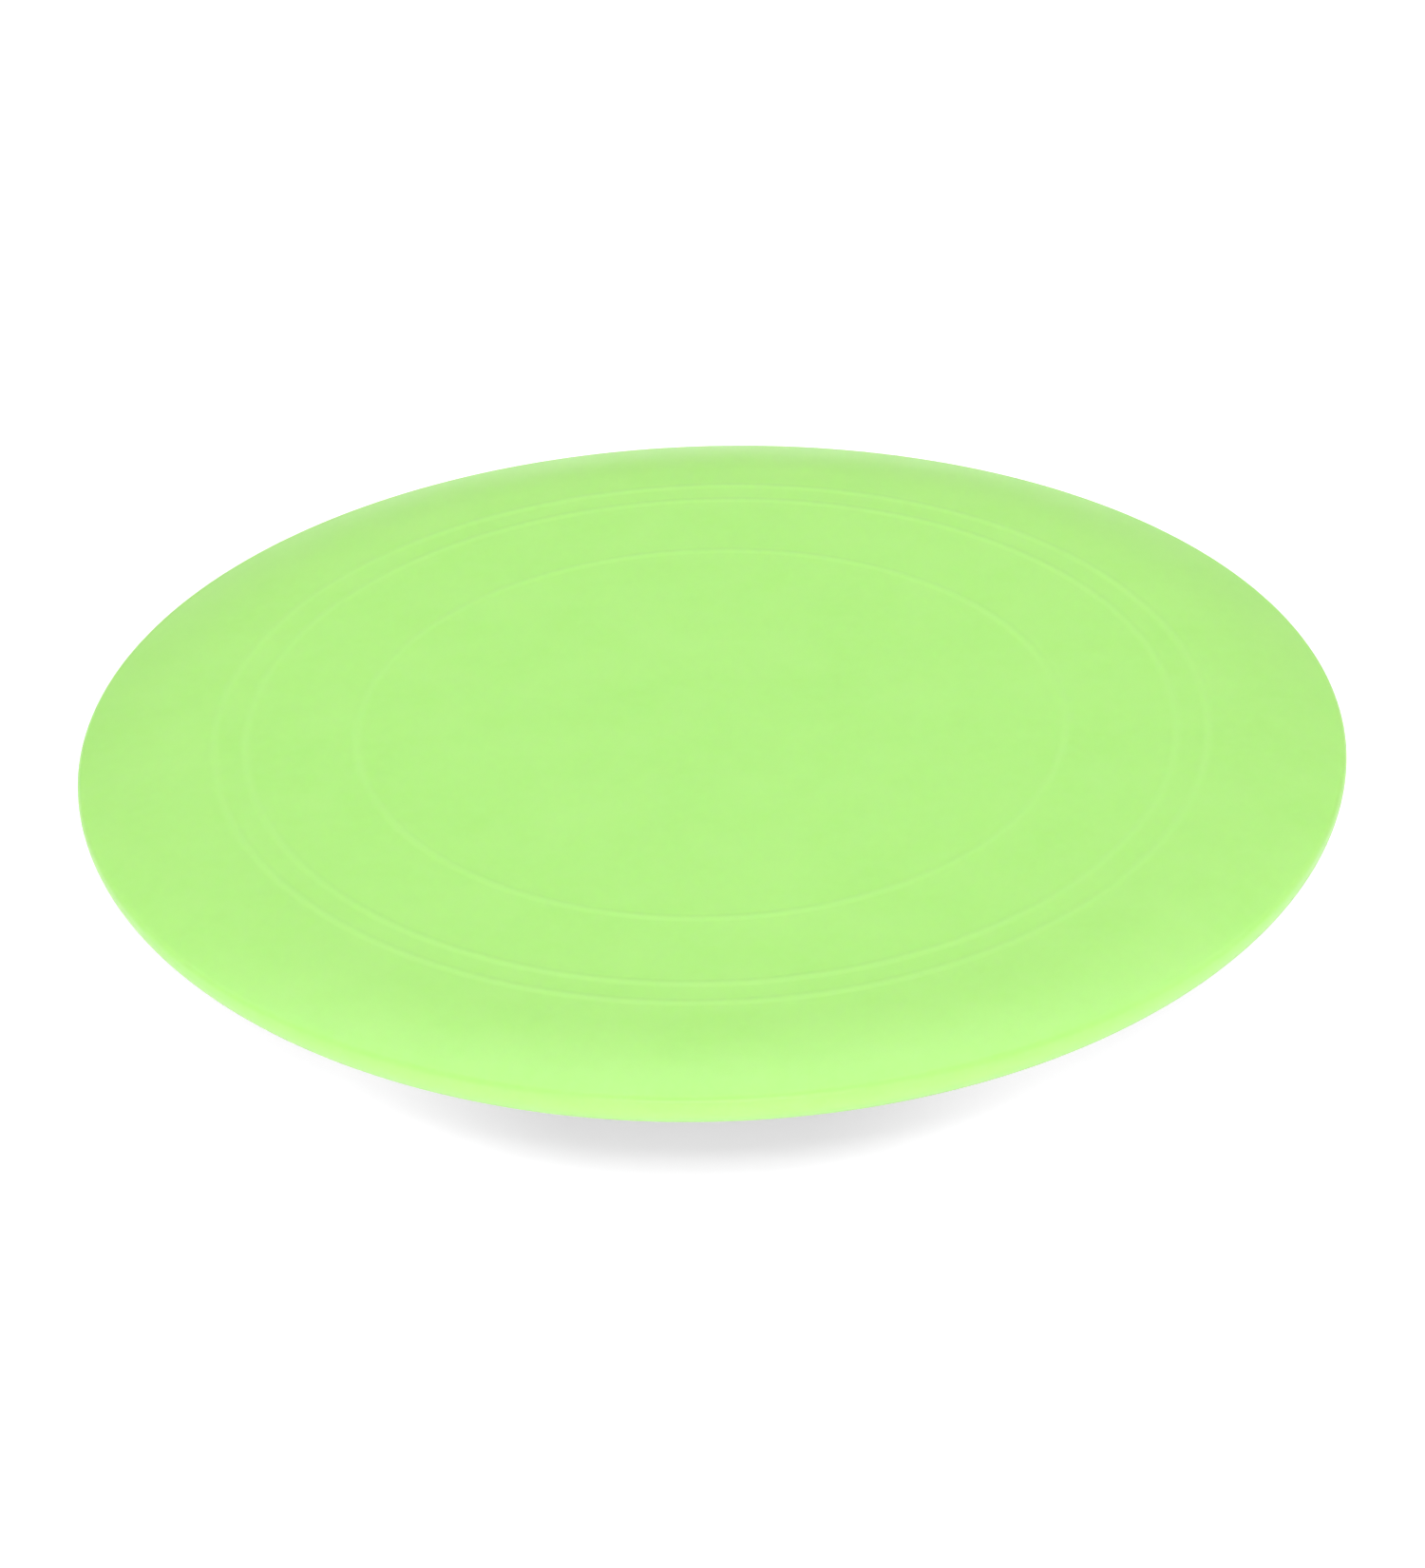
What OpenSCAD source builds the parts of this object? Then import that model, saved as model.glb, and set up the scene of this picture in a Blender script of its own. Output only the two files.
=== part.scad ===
// Soft moulded flying disc with a closed, gently domed middle, raised rings and a rolled-under rim.
//
// The disc is one moulding, a body of revolution about Z that rests on its lip at z = 0. One cross
// section holds its whole shape, and each named part is a zone of that section: the zones share
// their cut faces, so together they are the moulding again.

/* [Disc] */
// Diameter at the widest point of the rim
disc_d = 180; // [176:1:230]
// Thickness of the middle
plate_t = 1.8; // [1.4:0.1:2.4]
// Rise of the centre above the edge of the middle
dome_rise = 0.9; // [0.2:0.1:2]

/* [Rim] */
// Radial width of the rounded shoulder between the middle and the widest point
shoulder_w = 14; // [12:0.5:16]
// Drop from the top of the shoulder to the widest point
shoulder_drop = 3.3; // [2.8:0.1:4.2]
// Rounding of the edge that the shoulder ends in
edge_r = 1; // [0.6:0.1:1.6]
// Height of the widest point above the resting face
widest_z = 9.4; // [8.6:0.1:9.5]
// Radial half-axis of the elliptical curve under the widest point
tuck_w = 22; // [20:0.5:24]
// Upright half-axis of the same curve, which the resting face cuts short
tuck_h = 9.6; // [9.6:0.1:10.4]

/* [Finger pocket] */
// Wall thickness outside the widest point of the pocket
rim_t = 3.4; // [2.6:0.1:4]
// Height of the widest point of the pocket above the resting face
pocket_z = 7.4; // [6.8:0.1:7.8]
// Height at which the upright wall of the rim turns into the curl under it
curl_z = 5.2; // [4.8:0.1:6]

/* [Lip] */
// Thickness of the lip, which ends in a full round
lip_t = 3.6; // [3:0.1:4.2]
// Radial width of the flat face that the disc rests on
land_w = 2.4; // [1.5:0.1:4]

/* [Rings] */
// Diameter of the inner ring's crest
inner_ridge_d = 100.5; // [80:0.5:120]
// Diameter of the middle ring's crest
middle_ridge_d = 132; // [126:1:135]
// Diameter of the outer ring's crest
outer_ridge_d = 141; // [138:0.5:142]
// Width of a ring where it leaves the surface
ridge_w = 1.4; // [1:0.1:1.8]
// Height of a ring above the surface
ridge_h = 0.15; // [0.1:0.05:0.4]

/* [Hidden] */

LIME = [0.71, 0.95, 0.52];
DOME_STEPS = 12;
CURVE_STEPS = 16;
EDGE_STEPS = 8;
RIDGE_STEPS = 8;
ROUND = 180;
// How far a cutting square reaches past the section, and a ring into the plate before it is cut off
CLEAR = 1;

disc_r = disc_d / 2;
plate_r = disc_r - shoulder_w;
plate_edge_z = widest_z + shoulder_drop;
top_z = plate_edge_z + dome_rise;

// The shoulder is a circular arc. It leaves the dome's edge at the dome's slope there, and it runs
// smoothly into the round of the widest point.
dome_slope = atan(2 * dome_rise / plate_r);
dome_normal = [sin(dome_slope), cos(dome_slope)];
edge_centre = [disc_r - edge_r, widest_z];
edge_gap = edge_centre - [plate_r, plate_edge_z];
shoulder_r = (edge_r ^ 2 - edge_gap * edge_gap) / (2 * (edge_gap * dome_normal + edge_r));
shoulder_centre = [plate_r, plate_edge_z] - shoulder_r * dome_normal;
edge_way = edge_centre - shoulder_centre;
shoulder_end = atan2(edge_way.x, edge_way.y);

// The curve under the widest point ends where it meets the resting face.
tuck_end = asin(widest_z / tuck_h);
land_out_r = disc_r - tuck_w * (1 - cos(tuck_end));
land_in_r = land_out_r - land_w;

pocket_r = disc_r - rim_t;
roof_z = plate_edge_z - plate_t;

function dome_z(r) = plate_edge_z + dome_rise * (1 - pow(r / plate_r, 2));

// Points of an elliptical arc about [r, z] from angle a0 to a1; first = 1 leaves out the point at a0
function arc(r, z, half_w, half_h, a0, a1, steps, first = 0) =
    [
        for (i = [first : steps])
            let (a = a0 + (a1 - a0) * i / steps)
                [r + half_w * cos(a), z + half_h * sin(a)]
    ];

dome_radii = [for (i = [0 : DOME_STEPS]) plate_r * i / DOME_STEPS];
dome_top = [for (r = dome_radii) [r, dome_z(r)]];
dome_under = [for (i = [DOME_STEPS - 1 : -1 : 0]) dome_top[i] - [0, plate_t]];
shoulder_curve = arc(
    shoulder_centre.x, shoulder_centre.y, shoulder_r, shoulder_r,
    90 - dome_slope, 90 - shoulder_end, CURVE_STEPS, 1
);
edge_curve = arc(
    edge_centre.x, edge_centre.y, edge_r, edge_r, 90 - shoulder_end, 0, EDGE_STEPS, 1
);
tuck_curve = arc(disc_r - tuck_w, widest_z, tuck_w, tuck_h, 0, -tuck_end, CURVE_STEPS, 1);
lip_curve = arc(land_in_r, lip_t / 2, lip_t / 2, lip_t / 2, 270, 90, CURVE_STEPS);
pocket_floor = arc(land_out_r, pocket_z, pocket_r - land_out_r, pocket_z - lip_t, -90, 0, CURVE_STEPS);
pocket_roof = arc(plate_r, pocket_z, pocket_r - plate_r, roof_z - pocket_z, 0, 90, CURVE_STEPS, 1);

// The right half of the moulding's cross section, drawn in the plane of the axis
module section() {
    polygon(concat(
        dome_top, shoulder_curve, edge_curve, tuck_curve, lip_curve, pocket_floor, pocket_roof, dome_under
    ));
}

// The ring of material between two radii and two heights
module zone(r_in, r_out, z_low, z_high) {
    color(LIME)
        rotate_extrude($fn = ROUND)
            intersection() {
                section();
                translate([r_in, z_low])
                    square([r_out - r_in, z_high - z_low]);
            }
}

// A low rounded ring that stands on the top surface, a segment of a circle in cross section
module ridge(d) {
    flank = 2 * atan(ridge_h / (ridge_w / 2));
    round_r = ridge_w / 2 / sin(flank);
    crest = arc(0, ridge_h - round_r, round_r, round_r, 90 - flank, 90 + flank, RIDGE_STEPS);
    foot = [[-ridge_w / 2, -CLEAR], [ridge_w / 2, -CLEAR]];
    color(LIME)
        rotate_extrude($fn = ROUND)
            difference() {
                translate([d / 2, dome_z(d / 2)])
                    polygon(concat(crest, foot));
                section();
            }
}

// The plate and the shoulder are the roof over the pocket. The wall, the curl and the lip are below it.
module flight_plate() { zone(0, plate_r, pocket_z, top_z + CLEAR); }
module inner_ridge() { ridge(inner_ridge_d); }
module middle_ridge() { ridge(middle_ridge_d); }
module outer_ridge() { ridge(outer_ridge_d); }
module shoulder() { zone(plate_r, disc_r + CLEAR, pocket_z, top_z + CLEAR); }
module rim_wall() { zone(land_out_r, disc_r + CLEAR, curl_z, pocket_z); }
module rim_curl() { zone(land_out_r, disc_r + CLEAR, -CLEAR, curl_z); }
module lip() { zone(0, land_out_r, -CLEAR, pocket_z); }

flight_plate();
inner_ridge();
middle_ridge();
outer_ridge();
shoulder();
rim_wall();
rim_curl();
lip();
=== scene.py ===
"""A soft silicone flying disc on a pale floor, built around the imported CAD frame."""

import math

import bpy
from mathutils import Matrix, Vector


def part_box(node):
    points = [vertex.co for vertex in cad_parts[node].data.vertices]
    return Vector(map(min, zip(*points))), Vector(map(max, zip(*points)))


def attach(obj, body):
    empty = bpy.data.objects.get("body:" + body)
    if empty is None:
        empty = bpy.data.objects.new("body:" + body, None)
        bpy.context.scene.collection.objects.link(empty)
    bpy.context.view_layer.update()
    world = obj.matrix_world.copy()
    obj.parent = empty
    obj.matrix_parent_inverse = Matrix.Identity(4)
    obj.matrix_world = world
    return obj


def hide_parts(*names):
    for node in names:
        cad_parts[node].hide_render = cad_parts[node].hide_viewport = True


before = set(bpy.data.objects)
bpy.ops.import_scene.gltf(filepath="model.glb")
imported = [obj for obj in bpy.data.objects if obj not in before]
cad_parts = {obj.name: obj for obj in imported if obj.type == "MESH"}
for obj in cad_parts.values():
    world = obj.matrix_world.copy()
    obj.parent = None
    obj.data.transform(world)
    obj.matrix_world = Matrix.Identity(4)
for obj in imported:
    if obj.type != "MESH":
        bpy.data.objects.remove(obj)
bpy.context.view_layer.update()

MM = 0.001
RIDGES = ("inner_ridge", "middle_ridge", "outer_ridge")
NODES = ("flight_plate", *RIDGES, "shoulder", "rim_wall", "rim_curl", "lip")

# Sizes that the frame gives
DISC_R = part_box("shoulder")[1].x
PLATE_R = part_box("flight_plate")[1].x
TOP_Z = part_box("flight_plate")[1].z
EDGE_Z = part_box("shoulder")[1].z
ROOF_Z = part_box("flight_plate")[0].z
POCKET_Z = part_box("shoulder")[0].z
LAND_OUT_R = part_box("lip")[1].x
LIP_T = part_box("lip")[1].z

# Sizes of the section that no node's box shows
SHOULDER_DROP = 3.3 * MM
EDGE_ROUND = 1.0 * MM
WIDEST_Z = EDGE_Z - SHOULDER_DROP
TUCK_W = 22 * MM
TUCK_H = 9.6 * MM
RIM_T = 3.4 * MM
LAND_W = 2.4 * MM
RIDGE_W = 1.4 * MM

# Fine form that the CAD leaves out. The rings are worn to this share of their height, and each
# fades into the plate this far from its crest.
RIDGE_WORN = 0.5
RIDGE_REACH = 1.1 * MM
# A soft disc is never quite flat. Its sides stand up by SADDLE and its near and far rim are down by
# as much. Its middle bulges up by BULGE, twice that at BULGE_LEAN behind the axis, and the bulge
# fades out over the rim from BULGE_R.
SADDLE = 0.35 * MM
BULGE = 0.4 * MM
BULGE_LEAN = 58 * MM
BULGE_R = 70 * MM

# How finely the mesh is divided: round the axis, along the plate, and along each curve
SEGMENTS = 360
PLATE_STEP = 3 * MM
RIDGE_STEPS = 14
SHOULDER_STEPS = 40
EDGE_STEPS = 12
TUCK_STEPS = 32
INNER_STEPS = 24


def dome_z(r):
    return EDGE_Z + (TOP_Z - EDGE_Z) * (1 - (r / PLATE_R) ** 2)


def arc(r, z, half_w, half_h, a0, a1, steps):
    """Points of an elliptical arc about (r, z), from angle a0 to a1 in radians"""
    angles = [a0 + (a1 - a0) * i / steps for i in range(steps + 1)]
    return [(r + half_w * math.cos(a), z + half_h * math.sin(a)) for a in angles]


def ridge_crests():
    """The radius and height of each ring's crest over the dome"""
    crests = []
    for name in RIDGES:
        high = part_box(name)[1]
        crest_r = high.x - RIDGE_W / 2
        crests.append((crest_r, RIDGE_WORN * (high.z - dome_z(crest_r))))
    return crests


CRESTS = ridge_crests()


def ridge_lift(r):
    """How far the rings stand above the dome at this radius, with a filleted foot on each side"""
    lift = 0.0
    for crest_r, height in CRESTS:
        t = abs(r - crest_r) / RIDGE_REACH
        if t < 1:
            lift += height * math.cos(t * math.pi / 2) ** 2
    return lift


def shoulder_arcs():
    """The wide arc from the dome's edge, and the small one round the widest point that it meets"""
    slope = math.atan(2 * (TOP_Z - EDGE_Z) / PLATE_R)
    start = Vector((PLATE_R, EDGE_Z))
    normal = Vector((math.sin(slope), math.cos(slope)))
    centre = Vector((DISC_R - EDGE_ROUND, WIDEST_Z))
    gap = centre - start
    wide_r = (EDGE_ROUND**2 - gap.dot(gap)) / (2 * (gap.dot(normal) + EDGE_ROUND))
    wide_centre = start - wide_r * normal
    way = centre - wide_centre
    join = math.atan2(way.y, way.x)
    wide = arc(*wide_centre, wide_r, wide_r, math.pi / 2 - slope, join, SHOULDER_STEPS)
    small = arc(*centre, EDGE_ROUND, EDGE_ROUND, join, 0, EDGE_STEPS)
    return wide + small[1:]


def profile():
    """The half section, from the top's centre round the rim and back to the underside's centre"""
    tuck_end = math.asin(WIDEST_Z / TUCK_H)
    quarter = math.pi / 2
    pocket_r = DISC_R - RIM_T
    land_in_r = LAND_OUT_R - LAND_W

    coarse = [PLATE_STEP * i for i in range(math.ceil(PLATE_R / PLATE_STEP))]
    clear_of_rings = [
        r for r in coarse if all(abs(r - crest_r) > 1.5 * RIDGE_REACH for crest_r, _ in CRESTS)
    ]
    over_rings = [
        crest_r + RIDGE_REACH * (2 * i / RIDGE_STEPS - 1)
        for crest_r, _ in CRESTS
        for i in range(RIDGE_STEPS + 1)
    ]
    top = [(r, dome_z(r) + ridge_lift(r)) for r in sorted(clear_of_rings + over_rings)]
    tuck = arc(DISC_R - TUCK_W, WIDEST_Z, TUCK_W, TUCK_H, 0, -tuck_end, TUCK_STEPS)
    half_t = LIP_T / 2
    lip = arc(land_in_r, half_t, half_t, half_t, 3 * quarter, quarter, INNER_STEPS)
    pocket_w, pocket_h = pocket_r - LAND_OUT_R, POCKET_Z - LIP_T
    pocket_floor = arc(LAND_OUT_R, POCKET_Z, pocket_w, pocket_h, -quarter, 0, INNER_STEPS)
    roof_w, roof_h = pocket_r - PLATE_R, ROOF_Z - POCKET_Z
    pocket_roof = arc(PLATE_R, POCKET_Z, roof_w, roof_h, 0, quarter, INNER_STEPS)
    under = [(r, dome_z(r) - (EDGE_Z - ROOF_Z)) for r in reversed(coarse)]
    return top + shoulder_arcs() + tuck[1:] + lip + pocket_floor + pocket_roof[1:] + under


def bend(x, y, z):
    """How far the soft disc is bent up here. The lip rests on the floor at the front and the back."""
    saddle = SADDLE * (x * x - y * y + LAND_OUT_R**2) / DISC_R**2
    out = min(max((math.hypot(x, y) - BULGE_R) / (DISC_R - BULGE_R), 0), 1)
    up = min(max((z - LIP_T) / (ROOF_Z - LIP_T), 0), 1)
    return saddle + BULGE * (1 + y / BULGE_LEAN) * (1 + math.cos(math.pi * out)) / 2 * up


def spin(name, points):
    """One closed mesh, turned from a half section that starts and ends on the axis, then bent"""
    verts, faces = [], []
    inner = points[1:-1]
    for r, z in inner:
        for s in range(SEGMENTS):
            a = 2 * math.pi * s / SEGMENTS
            x, y = r * math.cos(a), r * math.sin(a)
            verts.append((x, y, z + bend(x, y, z)))
    for i in range(len(inner) - 1):
        for s in range(SEGMENTS):
            t = (s + 1) % SEGMENTS
            faces.append(
                (
                    i * SEGMENTS + s,
                    (i + 1) * SEGMENTS + s,
                    (i + 1) * SEGMENTS + t,
                    i * SEGMENTS + t,
                )
            )
    top, bottom = len(verts), len(verts) + 1
    verts += [(0, 0, z + bend(0, 0, z)) for _, z in (points[0], points[-1])]
    last = (len(inner) - 1) * SEGMENTS
    for s in range(SEGMENTS):
        t = (s + 1) % SEGMENTS
        faces.append((top, s, t))
        faces.append((bottom, last + t, last + s))
    mesh = bpy.data.meshes.new(name)
    mesh.from_pydata(verts, [], faces)
    mesh.validate()
    for polygon in mesh.polygons:
        polygon.use_smooth = True
    obj = bpy.data.objects.new(name, mesh)
    bpy.context.scene.collection.objects.link(obj)
    return obj


def node(tree, kind, **values):
    """A shader node, with the values of its inputs by name"""
    made = tree.nodes.new(kind)
    for name, value in values.items():
        made.inputs[name.replace("_", " ")].default_value = value
    return made


def grain(tree, size, detail):
    """Noise in the object's own space, with features of about this size in metres"""
    place = node(tree, "ShaderNodeTexCoord")
    noise_node = node(tree, "ShaderNodeTexNoise", Scale=1 / size, Detail=detail, Roughness=0.55)
    tree.links.new(place.outputs["Object"], noise_node.inputs["Vector"])
    return noise_node.outputs["Fac"]


def between(tree, value, low, high):
    """The noise value, which seldom leaves 0.3 to 0.7, stretched to run from low to high"""
    spread = node(
        tree, "ShaderNodeMapRange", From_Min=0.3, From_Max=0.7, To_Min=low, To_Max=high
    )
    tree.links.new(value, spread.inputs["Value"])
    return spread.outputs["Result"]


def mix(tree, factor, first, second):
    """A colour mix. Each of first and second is a colour or another node's output."""
    blend = tree.nodes.new("ShaderNodeMix")
    blend.data_type = "RGBA"
    tree.links.new(factor, blend.inputs[0])
    for socket, colour in ((blend.inputs[6], first), (blend.inputs[7], second)):
        if isinstance(colour, tuple):
            socket.default_value = (*colour, 1)
        else:
            tree.links.new(colour, socket)
    return blend.outputs[2]


def vector_math(tree, operation, first, second=None):
    """A vector operation on a node's output and a constant vector"""
    made = tree.nodes.new("ShaderNodeVectorMath")
    made.operation = operation
    tree.links.new(first, made.inputs[0])
    if second is not None:
        made.inputs[1].default_value = second
    return made.outputs


def arithmetic(tree, operation, *values):
    """A sum on plain numbers and other nodes' outputs"""
    made = tree.nodes.new("ShaderNodeMath")
    made.operation = operation
    for socket, value in zip(made.inputs, values):
        if isinstance(value, (int, float)):
            socket.default_value = value
        else:
            tree.links.new(value, socket)
    return made.outputs[0]


def crest_highlight(tree):
    """Mask of the painted highlight: 1 on each ring's crest, falling smoothly to 0 at its feet"""
    place = node(tree, "ShaderNodeTexCoord")
    level = vector_math(tree, "MULTIPLY", place.outputs["Object"], (1, 1, 0))["Vector"]
    radius = vector_math(tree, "LENGTH", level)["Value"]
    crest_masks = []
    for crest_r, _ in CRESTS:
        away = arithmetic(tree, "ABSOLUTE", arithmetic(tree, "SUBTRACT", radius, crest_r))
        bump = node(
            tree, "ShaderNodeMapRange", From_Min=0, From_Max=RIDGE_REACH, To_Min=1, To_Max=0
        )
        bump.interpolation_type = "SMOOTHSTEP"
        tree.links.new(away, bump.inputs["Value"])
        crest_masks.append(bump.outputs["Result"])
    inner, middle, outer = crest_masks
    return arithmetic(tree, "MAXIMUM", arithmetic(tree, "MAXIMUM", inner, middle), outer)


# The body colour runs between deep and pale in clouds, with milky flecks, and carries a painted
# highlight along the crests of the rings.
# The grey is what light that has left the disc carries on.
LIME_DEEP = (0.466, 0.906, 0.223)
LIME_PALE = (0.491, 0.933, 0.244)
LIME_MILKY = (0.501, 0.931, 0.262)
LIME_CREST_HIGHLIGHT = (0.495, 0.940, 0.252)
SPILL_GREY = (0.42, 0.42, 0.42)
# How wide each kind of unevenness is, and how high the two that shape the surface stand
CLOUD_SIZE = 14 * MM
FLECK_SIZE = 2.2 * MM
SHEEN_SIZE = 9 * MM
WAVE_SIZE = 11 * MM
WAVE_H = 0.06 * MM
GRAIN_SIZE = 0.35 * MM
GRAIN_H = 0.012 * MM


def silicone():
    """Matte lime silicone: cloudy where the pigment is uneven, slightly wavy, with a mould grain"""
    mat = bpy.data.materials.new("silicone")
    mat.use_nodes = True
    tree = mat.node_tree
    shader = tree.nodes["Principled BSDF"]

    clouds = between(tree, grain(tree, CLOUD_SIZE, 3), 0, 1)
    flecks = between(tree, grain(tree, FLECK_SIZE, 2), 0, 0.35)
    lime = mix(tree, flecks, mix(tree, clouds, LIME_DEEP, LIME_PALE), LIME_MILKY)
    # Painted highlight: the crests of the rings are paler than the rest of the body.
    lime = mix(tree, crest_highlight(tree), lime, LIME_CREST_HIGHLIGHT)
    # Light that has left the disc stays neutral, so the white floor takes no green from it.
    ray = node(tree, "ShaderNodeLightPath")
    colour = mix(tree, ray.outputs["Is Diffuse Ray"], lime, SPILL_GREY)
    tree.links.new(colour, shader.inputs["Base Color"])

    sheen = between(tree, grain(tree, SHEEN_SIZE, 3), 0.31, 0.37)
    tree.links.new(sheen, shader.inputs["Roughness"])

    shader.inputs["IOR"].default_value = 1.41
    shader.inputs["Subsurface Weight"].default_value = 0.5
    shader.inputs["Subsurface Radius"].default_value = (0.8, 1.0, 0.4)
    shader.inputs["Subsurface Scale"].default_value = 1.5 * MM

    wavy = node(tree, "ShaderNodeBump", Strength=0.5, Distance=WAVE_H)
    tree.links.new(grain(tree, WAVE_SIZE, 2), wavy.inputs["Height"])
    fine = node(tree, "ShaderNodeBump", Strength=0.35, Distance=GRAIN_H)
    tree.links.new(grain(tree, GRAIN_SIZE, 2), fine.inputs["Height"])
    tree.links.new(wavy.outputs["Normal"], fine.inputs["Normal"])
    tree.links.new(fine.outputs["Normal"], shader.inputs["Normal"])
    return mat


disc = spin("disc", profile())
disc.data.materials.append(silicone())
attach(disc, "root")
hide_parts(*NODES)


# The paper glows evenly. On top of that, painted light that the camera alone sees brightens the
# paper and takes away the disc's shadow at its sides, except on a soft round patch before the disc,
# where the shadow shows.
PAPER_GLOW = 0.388
PAINTED_PAPER_LIGHT = 0.25
SHADE_CENTRE = (-4 * MM, -82 * MM, 0)
SHADE_REACH = 66 * MM


def floor_paper():
    """White paper, lit from below, with painted light that only the camera sees"""
    mat = bpy.data.materials.new("floor_paper")
    mat.use_nodes = True
    tree = mat.node_tree
    shader = tree.nodes["Principled BSDF"]
    shader.inputs["Base Color"].default_value = (0.8, 0.8, 0.8, 1)
    shader.inputs["Roughness"].default_value = 0.9
    shader.inputs["Specular IOR Level"].default_value = 0
    shader.inputs["Emission Color"].default_value = (1, 1, 1, 1)

    place = node(tree, "ShaderNodeTexCoord")
    patch = node(tree, "ShaderNodeMapping", Location=SHADE_CENTRE, Scale=(SHADE_REACH,) * 3)
    patch.vector_type = "TEXTURE"
    tree.links.new(place.outputs["Object"], patch.inputs["Vector"])
    ball = node(tree, "ShaderNodeTexGradient")
    ball.gradient_type = "SPHERICAL"
    tree.links.new(patch.outputs["Vector"], ball.inputs["Vector"])
    # Painted light: the paper looks brighter to the camera everywhere except the patch that keeps the
    # shadow.
    lift = node(
        tree, "ShaderNodeMapRange", From_Min=0.2, From_Max=0.8, To_Min=PAINTED_PAPER_LIGHT, To_Max=0
    )
    lift.interpolation_type = "SMOOTHSTEP"
    tree.links.new(ball.outputs["Fac"], lift.inputs["Value"])

    # The disc is lit by the even glow alone.
    seen = node(tree, "ShaderNodeLightPath").outputs["Is Camera Ray"]
    glow = arithmetic(tree, "MULTIPLY_ADD", lift.outputs["Result"], seen, PAPER_GLOW)
    tree.links.new(glow, shader.inputs["Emission Strength"])
    return mat


FLOOR_HALF = 3.0
floor_mesh = bpy.data.meshes.new("floor")
floor_mesh.from_pydata(
    [
        (-FLOOR_HALF, -FLOOR_HALF, 0),
        (FLOOR_HALF, -FLOOR_HALF, 0),
        (FLOOR_HALF, FLOOR_HALF, 0),
        (-FLOOR_HALF, FLOOR_HALF, 0),
    ],
    [],
    [(0, 1, 2, 3)],
)
floor = bpy.data.objects.new("floor", floor_mesh)
bpy.context.scene.collection.objects.link(floor)
floor_mesh.materials.append(floor_paper())


def softbox(name, azimuth, elevation, distance, width, height, radiance):
    """A rectangular light that faces the disc's centre. Azimuth 0 is the camera's side."""
    a, e = math.radians(azimuth), math.radians(elevation)
    place = distance * Vector(
        (math.sin(a) * math.cos(e), -math.cos(a) * math.cos(e), math.sin(e))
    )
    data = bpy.data.lights.new(name, "AREA")
    data.shape = "RECTANGLE"
    data.size, data.size_y = width, height
    data.energy = radiance * math.pi * width * height
    light = bpy.data.objects.new(name, data)
    light.location = place
    light.rotation_euler = (-place).to_track_quat("-Z", "Y").to_euler()
    light.visible_camera = False
    bpy.context.scene.collection.objects.link(light)
    return light


softbox("top_light", 0, 90, 1.2, 1.2, 1.2, 1.32)
softbox("high_back_light", 180, 70, 0.7, 1.1, 0.3, 1.21)
softbox("low_front_light", 0, 9, 1.3, 1.1, 0.25, 8.9)
softbox("left_light", -100, 35, 1.4, 0.9, 0.6, 1.6)
softbox("right_light", 100, 35, 1.4, 0.9, 0.6, 1.75)

# The world lights the disc softly. A low view that looks past the floor sees it as pale as the
# floor's far edge.
WORLD_LIGHT = 0.29
WORLD_SEEN = 0.87

world = bpy.data.worlds.new("studio")
bpy.context.scene.world = world
world.use_nodes = True
sky = world.node_tree.nodes["Background"]
sky.inputs["Color"].default_value = (1, 1, 1, 1)
sky_seen = node(world.node_tree, "ShaderNodeLightPath").outputs["Is Camera Ray"]
sky_strength = node(
    world.node_tree, "ShaderNodeMapRange", To_Min=WORLD_LIGHT, To_Max=WORLD_SEEN
)
world.node_tree.links.new(sky_seen, sky_strength.inputs["Value"])
world.node_tree.links.new(sky_strength.outputs["Result"], sky.inputs["Strength"])

# The camera looks at the disc's axis, under its top, and leans so that the right side is up.
CAMERA_DISTANCE = 1.1166
CAMERA_ELEVATION = math.radians(31.17)
CAMERA_ROLL = math.radians(-1.80)
CAMERA_AIM = Vector((0, 0, 0.0043))

camera_data = bpy.data.cameras.new("camera")
camera_data.lens = 180.0
camera_data.sensor_fit = "AUTO"
camera_data.sensor_width = 36
camera = bpy.data.objects.new("camera", camera_data)
away = Vector((0, -math.cos(CAMERA_ELEVATION), math.sin(CAMERA_ELEVATION)))
camera.location = CAMERA_AIM + CAMERA_DISTANCE * away
look = (-away).to_track_quat("-Z", "Y").to_matrix().to_4x4()
camera.rotation_euler = (look @ Matrix.Rotation(CAMERA_ROLL, 4, "Z")).to_euler()
bpy.context.scene.collection.objects.link(camera)
bpy.context.scene.camera = camera
bpy.context.scene.view_settings.view_transform = "Standard"

bpy.context.view_layer.update()
